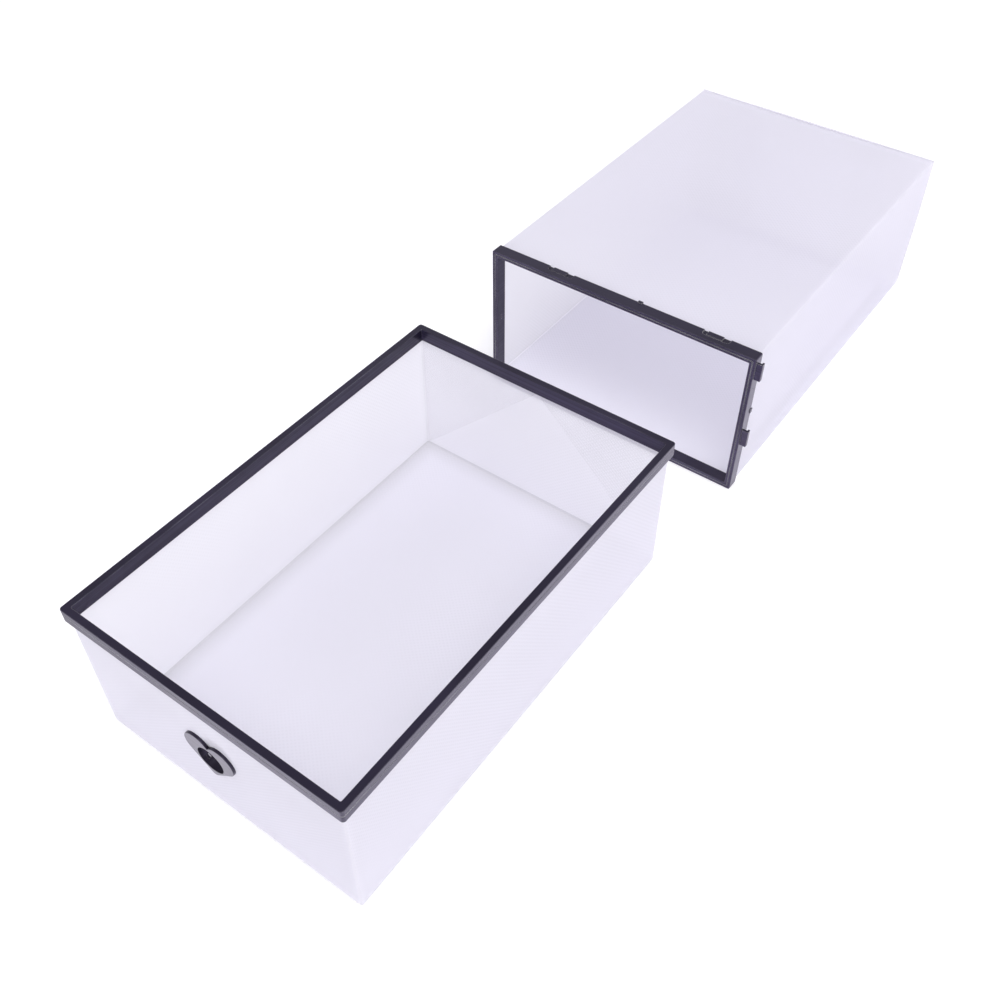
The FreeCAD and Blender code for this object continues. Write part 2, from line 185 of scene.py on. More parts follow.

# --- stage and light -------------------------------------------------------------------------
FLOOR_HALF_SIZE = 6.0
FLOOR_DROP = 0.1 * MM
FLOOR_COLOUR = (0.94, 0.94, 0.95, 1.0)
FLOOR_GLOW = (0.15, 0.8)       # the floor is a light table: its glow near by and far off
FLOOR_GLOW_SPAN = (1.2, 5.0)   # the distances from the middle where these hold
FLOOR_SHEEN = (0.1, 1.2)       # what the glossy plastics mirror of it besides, left and right
FLOOR_SHEEN_SPAN = (-0.2, 0.6)
SKY_COLOUR = (0.98, 0.97, 1.0, 1.0)
SKY_LEVEL = (1.5, 0.48)        # at the horizon and above SKY_LOW_ZONE
SKY_LOW_ZONE = 0.6
SKY_SEEN_LEVEL = 1.05          # what the camera sees of it is at least this bright
AREA_LIGHTS = (                # name, place, target, size in metres, power in watts
    ("overhead_front_right", (1.2, -1.1, 3.7), (0, -0.05, 0), 2.4, 100),
    ("low_right", (2.4, 0.9, 0.9), (0, 0, 0), 1.4, 5),
)


# --- small helpers -------------------------------------------------------------------------
def lerp(a, b, t):
    return a + (b - a) * t


def smooth(t):
    t = min(max(t, 0.0), 1.0)
    return t * t * (3 - 2 * t)


def steps_for(length):
    return max(2, round(length / GRID))


def quarter_turn(first=0):
    """Angles along a quarter turn, one for each mesh step from the given one."""
    return [math.pi / 2 * k / ARC_STEPS for k in range(first, ARC_STEPS + 1)]


def waviness(point):
    """Slight unevenness of a folded sheet, a smooth function of place."""
    return WAVE_HEIGHT * noise.noise(Vector(point) / WAVE_LENGTH)


def rounded_outline(low, high, radius):
    """Points round a rounded rectangle, anticlockwise from the end of its lower side.

    Each is (position, outward normal, side, share along that side); side is None on an arc.
    """
    centres = [(high[0] - radius, low[1] + radius), (high[0] - radius, high[1] - radius),
               (low[0] + radius, high[1] - radius), (low[0] + radius, low[1] + radius)]
    points = []
    for corner, centre in enumerate(centres):
        start = math.pi / 2 * (corner - 1)
        for turn in quarter_turn():
            angle = start + turn
            normal = Vector((math.cos(angle), math.sin(angle)))
            points.append((Vector(centre) + normal * radius, normal, None, 0.0))
        begin = points[-1][0]
        finish = Vector(centres[(corner + 1) % 4]) + normal * radius
        count = steps_for((finish - begin).length)
        for k in range(1, count):
            share = k / count
            points.append((begin.lerp(finish, share), normal, (corner + 1) % 4, share))
    return points


def join_rows(bm, rows, closed=False, skip=None, layer=PANEL):
    """Quads between rows of vertices; skip(row, column) leaves a face out.

    layer is the material slot: PANEL, SECOND_LAYER or TRAY_FLOOR.
    """
    for i in range(len(rows) - 1):
        width = len(rows[i])
        for j in range(width if closed else width - 1):
            if skip and skip(i, j):
                continue
            n = (j + 1) % width
            corners = (rows[i][j], rows[i][n], rows[i + 1][n], rows[i + 1][j])
            bm.faces.new(corners).material_index = layer


def vertex_rows(bm, rows):
    return [[bm.verts.new(point) for point in row] for row in rows]


def new_object(name, bm, *materials):
    """A smooth-shaded mesh object from a bmesh, linked to the scene."""
    bmesh.ops.remove_doubles(bm, verts=bm.verts, dist=MERGE_DISTANCE)
    bmesh.ops.recalc_face_normals(bm, faces=bm.faces)
    for face in bm.faces:
        face.smooth = True
    mesh = bpy.data.meshes.new(name)
    bm.to_mesh(mesh)
    bm.free()
    for material in materials:
        mesh.materials.append(material)
    obj = bpy.data.objects.new(name, mesh)
    bpy.context.scene.collection.objects.link(obj)
    return obj


def thicken(obj):
    """Gives a mid-surface the sheet's gauge."""
    solid = obj.modifiers.new("gauge", "SOLIDIFY")
    solid.thickness = GAUGE
    solid.offset = 0
    solid.use_even_offset = True
    return obj


# --- outer sleeve ----------------------------------------------------------------------------
sleeve_low, sleeve_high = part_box("sleeve_sheet")
flap_low, flap_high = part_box("sleeve_back_flap")
SLEEVE_SIDES = ("floor", "right", "top", "left")


def mid_sleeve():
    """Corners of the sleeve's cross-section on the sheet's mid-surface, as (x, z)."""
    half = GAUGE / 2
    low = (sleeve_low.x + half, sleeve_low.z + half)
    high = (sleeve_high.x - half, sleeve_high.z - half)
    return low, high


def sleeve_length_share(y):
    return (y - sleeve_low.y) / (sleeve_high.y - sleeve_low.y)


def sleeve_bow(side, share, y):
    """How far a sleeve panel stands proud of its flat plane; the frame holds its front flat."""
    along = sleeve_length_share(y)
    start, span = SLEEVE_ARCH
    hold = math.sin(math.pi * min(1.0, start + along * span)) * min(1.0, along * BOW_RISE)
    return SLEEVE_BOW[SLEEVE_SIDES[side]] * math.sin(math.pi * share) * hold


def sleeve_point(position, normal, side, share, y):
    """Point of the sleeve at length y, from a point of its outline and that point's details."""
    if side is not None:
        lift = sleeve_bow(side, share, y)
        ripple = waviness((position.x, y, position.y)) * math.sin(math.pi * share)
        position = position + normal * (lift + ripple * min(1.0, sleeve_length_share(y) * RIPPLE_RISE))
    return Vector((position.x, y, position.y))


def add_sleeve_tube(bm, end_y):
    low, high = mid_sleeve()
    outline = rounded_outline(low, high, SLEEVE_FOLD_RADIUS)
    count = steps_for(end_y - sleeve_low.y)
    rows = []
    for i in range(count + 1):
        y = lerp(sleeve_low.y, end_y, i / count)
        rows.append([sleeve_point(*item, y) for item in outline])
    join_rows(bm, vertex_rows(bm, rows), closed=True)


def add_dust_flap(bm, side, end_y):
    """Flap folded in from the back edge of the "right" or "left" wall."""
    low, high = mid_sleeve()
    turn = 1 if side == "right" else -1
    middle = (low[1] + high[1]) / 2
    reach_z = (high[1] - low[1]) / 2 - DUST_FLAP_GAP
    wall = [item for item in rounded_outline(low, high, SLEEVE_FOLD_RADIUS)
            if item[2] == SLEEVE_SIDES.index(side) and abs(item[0].y - middle) < reach_z]
    edge = [sleeve_point(*item, end_y) for item in wall]
    columns = [edge]
    for angle in quarter_turn(1):
        shift = Vector((-turn * DUST_FOLD_RADIUS * (1 - math.cos(angle)),
                        DUST_FOLD_RADIUS * math.sin(angle), 0))
        columns.append([point + shift for point in edge])
    count = steps_for(DUST_FLAP_REACH)
    for k in range(1, count + 1):
        run = DUST_FLAP_REACH * k / count
        taper = max(0.0, run - DUST_FLAP_REACH + DUST_FLAP_TAPER)
        squeeze = 1 - taper / reach_z
        bend = -DUST_FLAP_BEND * (run / DUST_FLAP_REACH) ** 2
        columns.append([Vector((point.x - turn * run, point.y + bend,
                                middle + (point.z - middle) * squeeze))
                        for point in columns[ARC_STEPS]])
    join_rows(bm, vertex_rows(bm, columns), layer=SECOND_LAYER)


def add_seam(bm, end_y):
    """Glued overlap on the floor panel, inside its right edge."""
    low, high = mid_sleeve()
    outline = rounded_outline(low, high, SLEEVE_FOLD_RADIUS)
    seam_start = high[0] - SEAM_WIDTH
    floor = [item for item in outline
             if item[2] == SLEEVE_SIDES.index("floor") and item[0].x > seam_start]
    lift = Vector((0, 0, GAUGE + LAYER_GAP))
    first = sleeve_low.y + SEAM_END_GAP
    last = end_y - SEAM_END_GAP
    count = steps_for(last - first)
    rows = []
    for i in range(count + 1):
        y = lerp(first, last, i / count)
        rows.append([sleeve_point(*item, y) + lift for item in floor])
    join_rows(bm, vertex_rows(bm, rows), layer=SECOND_LAYER)


def make_sleeve_sheet(panel, lining):
    bm = bmesh.new()
    end_y = sleeve_high.y - GAUGE / 2 - DUST_FOLD_RADIUS
    add_sleeve_tube(bm, end_y)
    for side in ("right", "left"):
        add_dust_flap(bm, side, end_y)
    add_seam(bm, end_y)
    obj = thicken(new_object("folded_sleeve", bm, panel, lining))
    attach(obj, "sleeve")
    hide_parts("sleeve_sheet")


def back_flap_profile():
    """Side view of the back flap as (y, z): living hinge, plate, fold, tongue.

    Also gives how many of the points belong to the hinge and the plate.
    """
    back = flap_high.y - GAUGE / 2
    top = sleeve_high.z - GAUGE / 2
    bottom = flap_low.z + GAUGE / 2
    radius = SLEEVE_FOLD_RADIUS
    fold_y = back - radius
    plate_top = top - radius
    plate_bottom = bottom + radius
    points = [(fold_y + radius * math.sin(angle), plate_top + radius * math.cos(angle))
              for angle in quarter_turn()]
    count = steps_for(plate_top - plate_bottom)
    for k in range(1, count + 1):
        share = k / count
        bow = BACK_FLAP_BOW * math.sin(math.pi * share)
        points.append((back + bow, lerp(plate_top, plate_bottom, share)))
    plate_count = len(points)
    points += [(fold_y + radius * math.cos(angle), plate_bottom - radius * math.sin(angle))
               for angle in quarter_turn(1)]
    count = steps_for(fold_y - flap_low.y)
    points += [(lerp(fold_y, flap_low.y, k / count), bottom) for k in range(1, count + 1)]
    return points, plate_count


def back_flap_columns(half, tongue_half):
    """Places across the flap, from left to right."""
    steps = BESIDE_TONGUE_STEPS
    count = steps_for(2 * tongue_half)
    columns = [lerp(-half, -tongue_half, k / steps) for k in range(steps)]
    columns += [lerp(-tongue_half, tongue_half, k / count) for k in range(count + 1)]
    columns += [lerp(tongue_half, half, k / steps) for k in range(1, steps + 1)]
    return columns


def plate_rows(columns, profile, half):
    """Points of the hinge and the plate; the profile's bow fades towards the plate's sides."""
    rows = []
    for i, (y, z) in enumerate(profile):
        bow = BACK_FLAP_BOW * math.sin(math.pi * i / len(profile))
        rows.append([Vector((x, y - bow * (x / half) ** 2, z)) for x in columns])
    return rows


def tongue_rows(columns, profile, tongue_half):
    """Points of the tongue, whose free corners are round."""
    rows = []
    for y, z in profile:
        short_of_corner = max(0.0, TONGUE_CORNER - (y - flap_low.y))
        inset = TONGUE_CORNER - math.sqrt(max(0.0, TONGUE_CORNER ** 2 - short_of_corner ** 2))
        squeeze = 1 - inset / tongue_half
        rows.append([Vector((x * squeeze, y, z)) for x in columns])
    return rows


def make_back_flap(material):
    """The back flap, from its living hinge on the sleeve's top down to its tongue."""
    points, plate_count = back_flap_profile()
    half = flap_high.x
    tongue_half = half - TONGUE_SIDE_INSET
    columns = back_flap_columns(half, tongue_half)
    bm = bmesh.new()
    plate = vertex_rows(bm, plate_rows(columns, points[:plate_count], half))
    join_rows(bm, plate)
    on_tongue = slice(BESIDE_TONGUE_STEPS, -BESIDE_TONGUE_STEPS)
    rows = [[vert.co.copy() for vert in plate[-1][on_tongue]]]
    rows += tongue_rows(columns[on_tongue], points[plate_count:], tongue_half)
    join_rows(bm, vertex_rows(bm, rows))
    obj = thicken(new_object("back_flap", bm, material))
    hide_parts("sleeve_back_flap")
    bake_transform(obj)


# --- drawer tray -----------------------------------------------------------------------------
tray_low, tray_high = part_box("drawer_tray")
collar_low, collar_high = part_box("pull_collar")
rim_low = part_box("drawer_rim")[0]
PULL_CENTRE = ((collar_low.x + collar_high.x) / 2, (collar_low.z + collar_high.z) / 2)
TRAY_SIDES = ("front", "right", "back", "left")


def mid_tray():
    """Corners of the tray's plan on the sheet's mid-surface, and its floor and top levels."""
    half = GAUGE / 2
    low = (tray_low.x + half, tray_low.y + half)
    high = (tray_high.x - half, tray_high.y - half)
    return low, high, tray_low.z + half, tray_high.z


def tray_wall_offset(side, share, z):
    """Bow and ripple of a tray wall; the rim holds its top straight, the pull its middle."""
    rise = (z - tray_low.z) / (tray_high.z - tray_low.z)
    start, span = TRAY_ARCH
    hold = math.sin(math.pi * min(1.0, span * rise + start))
    bow = TRAY_BOW[TRAY_SIDES[side]] * math.sin(math.pi * share) * hold
    place = (share * WAVES_PER_WALL * WAVE_LENGTH, side * WAVES_BETWEEN_WALLS * WAVE_LENGTH, z)
    ripple = waviness(place) * math.sin(math.pi * share)
    offset = bow + ripple * math.sin(math.pi * min(1.0, rise))
    if TRAY_SIDES[side] == "front":
        x = lerp(tray_low.x, tray_high.x, share) - PULL_CENTRE[0]
        away = math.hypot(x, z - PULL_CENTRE[1])
        offset *= smooth((away - collar_high.x) / CLAMPED_REACH)
    return offset


def tray_row(low, high, z, inset):
    """One ring of points round the tray, drawn in by inset, which also tightens its corners."""
    ring_low = (low[0] + inset, low[1] + inset)
    ring_high = (high[0] - inset, high[1] - inset)
    radius = TRAY_FOLD_RADIUS - inset
    row = []
    for position, normal, side, share in rounded_outline(ring_low, ring_high, radius):
        if side is not None and inset == 0:
            position = position + normal * tray_wall_offset(side, share, z)
        row.append(Vector((position.x, position.y, z)))
    return row


def hole_window(columns, levels, centre, radius):
    """Grid cells that the pull's hole touches: first and last column, first and last level."""
    reach = radius + HOLE_MARGIN
    inside_x = [j for j, x in enumerate(columns) if abs(x - centre[0]) < reach]
    inside_z = [i for i, z in enumerate(levels) if abs(z - centre[1]) < reach]
    return inside_x[0] - 1, inside_x[-1] + 1, inside_z[0] - 1, inside_z[-1] + 1


def add_tray_walls(bm):
    """The four walls, with the pull's hole in the front one; gives the level where they end."""
    low, high, floor_z, top = mid_tray()
    wall_bottom = floor_z + TRAY_FOLD_RADIUS
    count = steps_for(top - wall_bottom)
    levels = [lerp(top, wall_bottom, k / count) for k in range(count + 1)]
    outline = rounded_outline(low, high, TRAY_FOLD_RADIUS)
    front_side = TRAY_SIDES.index("front")
    front = [j for j, item in enumerate(outline) if item[2] == front_side]
    columns = [outline[j][0].x for j in front]
    radius = (collar_high.x - collar_low.x) / 2 - WALL_HOLE_INSIDE_COLLAR
    left, right, upper, lower = hole_window(columns, levels, PULL_CENTRE, radius)
    rows = vertex_rows(bm, [tray_row(low, high, z, 0) for z in levels])

    def in_window(i, j):
        return upper <= i < lower and front[left] <= j < front[right]

    join_rows(bm, rows, closed=True, skip=in_window)
    border = [rows[i][front[left]] for i in range(upper, lower)]
    border += [rows[lower][front[k]] for k in range(left, right)]
    border += [rows[i][front[right]] for i in range(lower, upper, -1)]
    border += [rows[upper][front[k]] for k in range(right, left, -1)]
    add_hole_rings(bm, border, PULL_CENTRE, radius)
    return levels[-1]


def add_hole_rings(bm, border, centre, radius):
    """Rings that lead from a rectangle of grid points to the round hole for the pull."""
    rings = [border]
    for share in HOLE_RINGS:
        ring = []
        for vert in border:
            across = Vector((vert.co.x - centre[0], vert.co.z - centre[1]))
            target = across.normalized() * radius
            place = across.lerp(target, share)
            ring.append(bm.verts.new((centre[0] + place.x, vert.co.y, centre[1] + place.y)))
        rings.append(ring)
    join_rows(bm, rings, closed=True)


def add_tray_fold(bm, wall_bottom):
    """The fold all round between the walls and the floor."""
    low, high, floor_z, _ = mid_tray()
    rows = [tray_row(low, high, wall_bottom, 0)]
    for angle in quarter_turn(1):
        inset = min(TRAY_FOLD_RADIUS * (1 - math.cos(angle)), TRAY_FOLD_RADIUS - LEAST_RADIUS)
        z = floor_z + TRAY_FOLD_RADIUS * (1 - math.sin(angle))
        rows.append(tray_row(low, high, z, inset))
    join_rows(bm, vertex_rows(bm, rows), closed=True, layer=TRAY_FLOOR)


def add_tray_floor(bm):
    """The floor panel, slightly sagging and uneven."""
    low, high, floor_z, _ = mid_tray()
    first = (low[0] + TRAY_FOLD_RADIUS, low[1] + TRAY_FOLD_RADIUS)
    last = (high[0] - TRAY_FOLD_RADIUS, high[1] - TRAY_FOLD_RADIUS)
    count_x = steps_for(last[0] - first[0])
    count_y = steps_for(last[1] - first[1])
    grid = []
    for i in range(count_y + 1):
        y = lerp(first[1], last[1], i / count_y)
        row = []
        for j in range(count_x + 1):
            x = lerp(first[0], last[0], j / count_x)
            fade = math.sin(math.pi * i / count_y) * math.sin(math.pi * j / count_x)
            sag = (TRAY_FLOOR_SAG - FLOOR_WAVE_GAIN * waviness((x, y, 0))) * fade
            row.append(Vector((x, y, floor_z - sag)))
        grid.append(row)
    join_rows(bm, vertex_rows(bm, grid), layer=TRAY_FLOOR)


def end_wall_offset(end, along, z):
    """Offset of the front (end -1) or back (end 1) wall; along runs from left to right."""
    if end < 0:
        return tray_wall_offset(TRAY_SIDES.index("front"), along, z)
    return tray_wall_offset(TRAY_SIDES.index("back"), 1 - along, z)


def sheets_under_gusset(side, inward, corner_x):
    """Layers that a gusset lies on: the right one crosses over the left one near the middle."""
    if side < 0:
        return 1
    return 1 + smooth((inward - corner_x + 3 * GUSSET_TRIM) / (2 * GUSSET_TRIM))


def add_gusset(bm, end, side):
    """Corner gusset lying inside an end wall: end -1 front, 1 back; side -1 left, 1 right."""
    low, high, floor_z, top = mid_tray()
    corner_x = high[0] - TRAY_FOLD_RADIUS
    start_z = floor_z + TRAY_FOLD_RADIUS
    reach = top - start_z
    wall_y = low[1] if end < 0 else high[1]
    count_x = steps_for(reach)
    count_z = count_x + 1
    rows = []
    for i in range(count_z + 1):
        rise = i / count_z
        z = lerp(start_z + GUSSET_FOOT, top, rise)
        width = min(reach, z - start_z)
        if z > rim_low.z:
            width = corner_x - GUSSET_TRIM
        row = []
        for j in range(count_x + 1):
            inward = width * j / count_x
            x = side * (corner_x - inward)
            bow = end_wall_offset(end, x / (2 * corner_x) + 0.5, z)
            stack = (GAUGE + LAYER_GAP) * sheets_under_gusset(side, inward, corner_x)
            lift = GUSSET_LIFT * (j / count_x) ** 3 * (1 - rise)
            row.append(Vector((x, wall_y + end * (bow - stack - lift), z)))
        rows.append(row)
    join_rows(bm, vertex_rows(bm, rows), layer=SECOND_LAYER)


def make_drawer_tray(panel, lining, floor):
    bm = bmesh.new()
    wall_bottom = add_tray_walls(bm)
    add_tray_fold(bm, wall_bottom)
    add_tray_floor(bm)
    for end in (-1, 1):
        for side in (-1, 1):
            add_gusset(bm, end, side)
    obj = thicken(new_object("folded_tray", bm, panel, lining, floor))
    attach(obj, "drawer")
    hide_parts("drawer_tray")


# --- node materials --------------------------------------------------------------------------
def new_material(name):
    """An empty node material and its node tree, with only the output node in it."""
    material = bpy.data.materials.new(name)
    material.use_nodes = True
    tree = material.node_tree
    tree.nodes.clear()
    tree.nodes.new("ShaderNodeOutputMaterial")
    return material, tree


def add(tree, kind, inputs=None, **settings):
    """A node with its settings and input values; an input given as a socket is linked."""
    node = tree.nodes.new(kind)
    for key, value in settings.items():
        setattr(node, key, value)
    for key, value in (inputs or {}).items():
        if isinstance(value, bpy.types.NodeSocket):
            tree.links.new(value, node.inputs[key])
        else:
            node.inputs[key].default_value = value
    return node


def math_node(tree, operation, *values):
    return add(tree, "ShaderNodeMath", dict(enumerate(values)), operation=operation).outputs[0]


def to_output(tree, shader):
    output = next(n for n in tree.nodes if n.type == "OUTPUT_MATERIAL")
    tree.links.new(shader, output.inputs["Surface"])


def blend_colours(tree, share, first, second):
    """first where share is 0, second where it is 1; each is a colour or a socket."""
    node = add(tree, "ShaderNodeMix", {0: share, 6: first, 7: second}, data_type="RGBA")
    return node.outputs[2]


def product(tree, first, second):
    return math_node(tree, "MULTIPLY", first, second)


def axis_of(tree, vector, axis):
    return add(tree, "ShaderNodeSeparateXYZ", {0: vector}).outputs[axis]


def object_place(tree):
    """The shaded point in the object's own coordinates."""
    return add(tree, "ShaderNodeTexCoord").outputs["Object"]


def noise_value(tree, vector, scale, detail=2.0):
    node = add(tree, "ShaderNodeTexNoise", {"Vector": vector, "Scale": scale, "Detail": detail})
    return node.outputs["Fac"]


def ramp(tree, value, low, high, start=0.3, end=0.7, curve="LINEAR"):
    """value mapped from start..end to low..high and clamped.

    Without a start and an end, the range is the one that holds most of a noise's values.
    """
    inputs = {"Value": value, "From Min": start, "From Max": end, "To Min": low, "To Max": high}
    return add(tree, "ShaderNodeMapRange", inputs, interpolation_type=curve).outputs["Result"]


def bump_normal(tree, height, strength_and_distance, normal=None):
    """Normal after a bump by height, on top of an earlier one if that is given."""
    strength, distance = strength_and_distance
    inputs = {"Height": height, "Strength": strength, "Distance": distance}
    if normal is not None:
        inputs["Normal"] = normal
    return add(tree, "ShaderNodeBump", inputs).outputs["Normal"]


def scaled_colour(tree, colour, tone):
    return add(tree, "ShaderNodeVectorMath", {0: colour, "Scale": tone}, operation="SCALE").outputs[0]


def mix_shaders(tree, share, first, second):
    """first where share is 0, second where it is 1."""
    inputs = {0: share, 1: first.outputs[0], 2: second.outputs[0]}
    return add(tree, "ShaderNodeMixShader", inputs)


def flat_coordinates(tree, coords):
    """Two coordinates in the panel that a point lies on, chosen by the way the panel faces.

    These are x and y on a level panel, z and y on a side wall, x and z on an end wall.
    """
    place = add(tree, "ShaderNodeSeparateXYZ", {0: coords})
    normal = add(tree, "ShaderNodeNewGeometry").outputs["True Normal"]
    on_wall = []
    for axis in "XY":
        size = math_node(tree, "ABSOLUTE", axis_of(tree, normal, axis))
        on_wall.append(math_node(tree, "GREATER_THAN", size, FACING))
    flat = []
    for axis, wall in zip("XY", on_wall):
        not_wall = math_node(tree, "SUBTRACT", 1.0, wall)
        level = product(tree, place.outputs[axis], not_wall)
        upright = product(tree, place.outputs["Z"], wall)
        flat.append(math_node(tree, "ADD", level, upright))
    return flat


def twill(tree, coords):
    """Crossed diagonal lines of the emboss, 0 in the grooves and 1 on the threads.

    They show in soft patches, because elsewhere the light hides them.
    """
    across, along = flat_coordinates(tree, coords)
    lines = []
    for sign in (1, -1):
        x = product(tree, across, math.sin(TWILL_ANGLE))
        y = product(tree, along, sign * math.cos(TWILL_ANGLE))
        phase = product(tree, math_node(tree, "ADD", x, y), 2 * math.pi / TWILL_PITCH)
        wave = math_node(tree, "SINE", phase)
        lines.append(math_node(tree, "MULTIPLY_ADD", wave, 0.5, 0.5))
    patch = ramp(tree, noise_value(tree, coords, CLOUD_SCALE, 0.0), 0.0, 1.0, *TWILL_PATCHES)
    return product(tree, product(tree, *lines), patch)


def wall_painted_light(tree, coords):
    """Painted light on the tray's walls: paler towards the floor, by height."""
    foot_top = tray_low.z + WALL_FOOT_HEIGHT
    return ramp(tree, axis_of(tree, coords, "Z"), WALL_FOOT_LIGHT, 1.0, tray_low.z, foot_top)


def floor_painted_shade(tree, coords):
    """Painted shade on the tray's floor: greyer overall and darkest along the folds round it, by the
    distance to the nearest one.
    """
    place = add(tree, "ShaderNodeSeparateXYZ", {0: coords})
    nearest = FLOOR_EDGE_REACH
    for axis, low, high in (("X", tray_low.x, tray_high.x), ("Y", tray_low.y, tray_high.y)):
        here = place.outputs[axis]
        nearest = math_node(tree, "MINIMUM", nearest, math_node(tree, "SUBTRACT", here, low))
        nearest = math_node(tree, "MINIMUM", nearest, math_node(tree, "SUBTRACT", high, here))
    return ramp(tree, nearest, TRAY_FLOOR_EDGE_SHADE, TRAY_FLOOR_SHADE, 0.0, FLOOR_EDGE_REACH, "SMOOTHSTEP")


def sheet_colour(tree, coords, cloud, threads, curve, fold, painted_shading):
    """Colour of the milky part: cloudy, darker on threads, with painted shade in creases and the
    painted light and shade given by place; whiter on outer folds from stress whitening and a painted
    highlight.
    """
    tone = product(tree, ramp(tree, cloud, *CLOUD_TONE), ramp(tree, threads, 1.0, TWILL_TONE, 0.0, 1.0))
    # painted shade in the creases, where the pointiness is low
    tone = product(tree, tone, ramp(tree, curve, CREASE_SHADE, 1.0, *CREASE_CURVE))
    # painted light and shade by place, given for each material
    if painted_shading:
        tone = product(tree, tone, painted_shading(tree, coords))
    # whiter on outer folds: stress whitening, and in part a painted highlight
    tone = math_node(tree, "MULTIPLY_ADD", fold, FOLD_WHITENING_AND_HIGHLIGHT, tone)
    return scaled_colour(tree, SHEET_COLOUR, tone)


def milky_shader(tree, coords, cloud, threads, colour):
    """The part of the light that the sheet scatters, back and through."""
    normal = bump_normal(tree, threads, TWILL_BUMP)
    grain = noise_value(tree, coords, SHEET_GRAIN_SCALE)
    normal = bump_normal(tree, grain, SHEET_GRAIN_BUMP, normal)
    surface = add(tree, "ShaderNodeBsdfPrincipled",
                  {"Base Color": colour, "IOR": SHEET_INDEX, "Specular IOR Level": SHEET_SHINE,
                   "Roughness": ramp(tree, cloud, *SHEET_ROUGHNESS), "Normal": normal})
    glow = add(tree, "ShaderNodeBsdfTranslucent", {"Color": colour})
    return mix_shaders(tree, SHEET_GLOW_SHARE, surface, glow)


def sheet_openness(tree, open_level, cloud, threads, fold):
    """The share of light that goes straight through."""
    low, high = CLOUD_OPENNESS
    openness = product(tree, ramp(tree, cloud, low, high),
                       ramp(tree, threads, open_level * low, open_level * high, 0.0, 1.0))
    return product(tree, openness, ramp(tree, fold, 1.0, FOLD_OPENNESS, 0.0, 1.0))


def sheet_material(name, open_level, fold_gain, painted_shading=None, tint=CLEAR_TINT):
    """Frosted clear plastic sheet: partly see-through, milky, with an embossed twill.

    Only the side that a ray enters is shaded, so one sheet counts once.
    """
    material, tree = new_material(name)
    coords = object_place(tree)
    threads = twill(tree, coords)
    cloud = noise_value(tree, coords, CLOUD_SCALE, 3.0)
    curve = add(tree, "ShaderNodeNewGeometry").outputs["Pointiness"]
    fold = ramp(tree, curve, 0.0, fold_gain, *FOLD_CURVE)
    colour = sheet_colour(tree, coords, cloud, threads, curve, fold, painted_shading)
    milky = milky_shader(tree, coords, cloud, threads, colour)
    clear = add(tree, "ShaderNodeBsdfTransparent", {"Color": tint})
    entered = mix_shaders(tree, sheet_openness(tree, open_level, cloud, threads, fold), milky, clear)
    leaving = add(tree, "ShaderNodeNewGeometry").outputs["Backfacing"]
    free = add(tree, "ShaderNodeBsdfTransparent")
    to_output(tree, mix_shaders(tree, leaving, entered, free).outputs[0])
    return material


def edge_highlight_mask(tree, flow):
    """1 on an edge with a painted highlight and 0 on a flat face."""
    soft = add(tree, "ShaderNodeBevel", {"Radius": EDGE_RADIUS}, samples=EDGE_SAMPLES)
    normal = add(tree, "ShaderNodeNewGeometry").outputs["Normal"]
    facing = add(tree, "ShaderNodeVectorMath", {0: soft.outputs["Normal"], 1: normal},
                 operation="DOT_PRODUCT")
    edge = ramp(tree, facing.outputs["Value"], 1.0, 0.0, *EDGE_FACING)
    return product(tree, edge, ramp(tree, flow, *EDGE_HIGHLIGHT_SHARE))


def moulding_colour(tree, flow, streak, colour, front_lit):
    """colour, or the last argument's lighter colour on front faces as painted light, with flow marks,
    streaks and painted highlights on edges.
    """
    out_of_front = axis_of(tree, add(tree, "ShaderNodeNewGeometry").outputs["Normal"], "Y")
    # painted light on the faces that look out of the front
    front = ramp(tree, out_of_front, 1.0, 0.0, *FRONT_LIT_FACING)
    plain = blend_colours(tree, front, (*colour, 1), (*front_lit, 1))
    tone = product(tree, ramp(tree, flow, *FLOW_TONE), ramp(tree, streak, *STREAK_TONE))
    # painted highlight on the edges: a paler colour
    pale = tuple(c + EDGE_HIGHLIGHT_LIFT for c in colour)
    return blend_colours(tree, edge_highlight_mask(tree, flow), scaled_colour(tree, plain, tone), (*pale, 1))


def moulding_material(name, colour, front_lit):
    """Dark satin moulded plastic: grain, flow marks, streaks along its bars, painted highlights on its
    edges.

    The last argument is the colour of the faces that look straight out of the front, lighter than the
    rest: painted light.
    """
    material, tree = new_material(name)
    coords = object_place(tree)
    flow = noise_value(tree, coords, FLOW_SCALE, 3.0)
    grain = noise_value(tree, coords, MOULDING_GRAIN_SCALE)
    stretched = add(tree, "ShaderNodeVectorMath", {0: coords, 1: STREAK_SCALE}, operation="MULTIPLY")
    streak = noise_value(tree, stretched.outputs[0], 1.0, 3.0)
    surface = add(tree, "ShaderNodeBsdfPrincipled",
                  {"Base Color": moulding_colour(tree, flow, streak, colour, front_lit),
                   "IOR": MOULDING_INDEX, "Specular Tint": SHEEN_TINT,
                   "Specular IOR Level": ramp(tree, streak, *MOULDING_SHINE),
                   "Roughness": ramp(tree, flow, *MOULDING_ROUGHNESS),
                   "Normal": bump_normal(tree, grain, MOULDING_GRAIN_BUMP)})
    to_output(tree, surface.outputs[0])
    return material


def finish_mouldings():
    """Gives the dark parts their finish, which stays on the frame's own meshes."""
    moulding = moulding_material("dark_moulding", MOULDING_COLOUR, MOULDING_FRONT_LIT)
    pull = moulding_material("pull_moulding", PULL_COLOUR, PULL_FRONT_LIT)
    finish_of = {"sleeve_frame": moulding, "drawer_rim": moulding,
                 "pull_heart": pull, "pull_collar": pull}
    for node, material in finish_of.items():
        for slot in frame["nodes"][node].material_slots:
            slot.material = material


